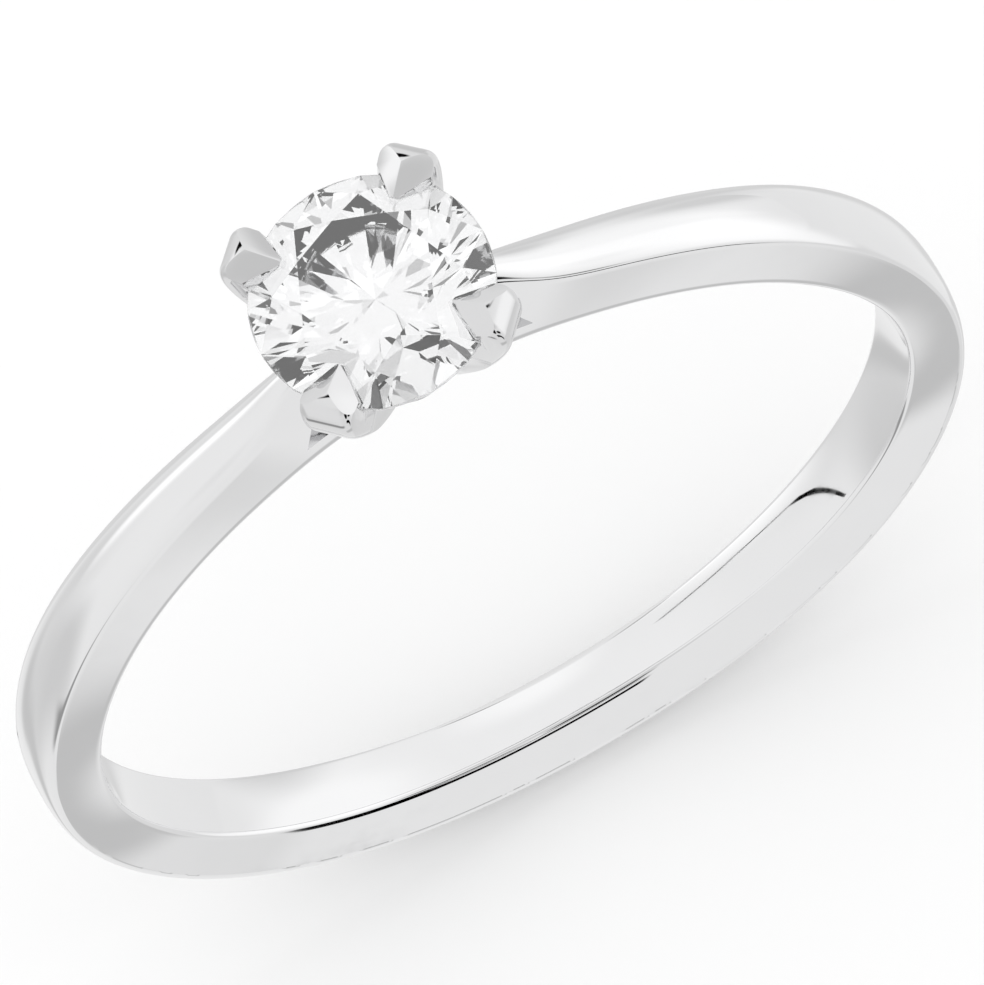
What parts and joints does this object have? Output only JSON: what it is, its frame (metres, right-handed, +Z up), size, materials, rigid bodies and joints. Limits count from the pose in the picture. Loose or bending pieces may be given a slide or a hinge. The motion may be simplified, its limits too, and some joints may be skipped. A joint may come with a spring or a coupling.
{
  "type": "engagement ring",
  "caption": "Slim polished white-metal solitaire ring: a tapering hoop with rising shoulders holds a round brilliant stone in a claw head.",
  "frame": {"origin": "centre of the finger hole, halfway across the hoop", "axes": "+Z up through the middle of the stone, +Y along the axis of the finger hole, +X along the shoulders, square to both"},
  "size_m": [0.0194, 0.0046, 0.0231],
  "materials": {
    "shank_metal": "bright polished white precious metal, such as platinum or rhodium-plated white gold",
    "gallery_metal": "bright polished white precious metal, such as platinum or rhodium-plated white gold",
    "base_ring_metal": "bright polished white precious metal, such as platinum or rhodium-plated white gold",
    "claw_front_left_metal": "bright polished white precious metal, such as platinum or rhodium-plated white gold",
    "claw_front_right_metal": "bright polished white precious metal, such as platinum or rhodium-plated white gold",
    "claw_rear_left_metal": "bright polished white precious metal, such as platinum or rhodium-plated white gold",
    "claw_rear_right_metal": "bright polished white precious metal, such as platinum or rhodium-plated white gold",
    "diamond": "clear colourless brilliant-cut stone, polished facets"
  },
  "bodies": {
    "root": {"shank": "shank_metal", "gallery": "gallery_metal", "base_ring": "base_ring_metal", "claw_front_left": "claw_front_left_metal", "claw_front_right": "claw_front_right_metal", "claw_rear_left": "claw_rear_left_metal", "claw_rear_right": "claw_rear_right_metal", "diamond": "diamond"}
  },
  "joints": []
}
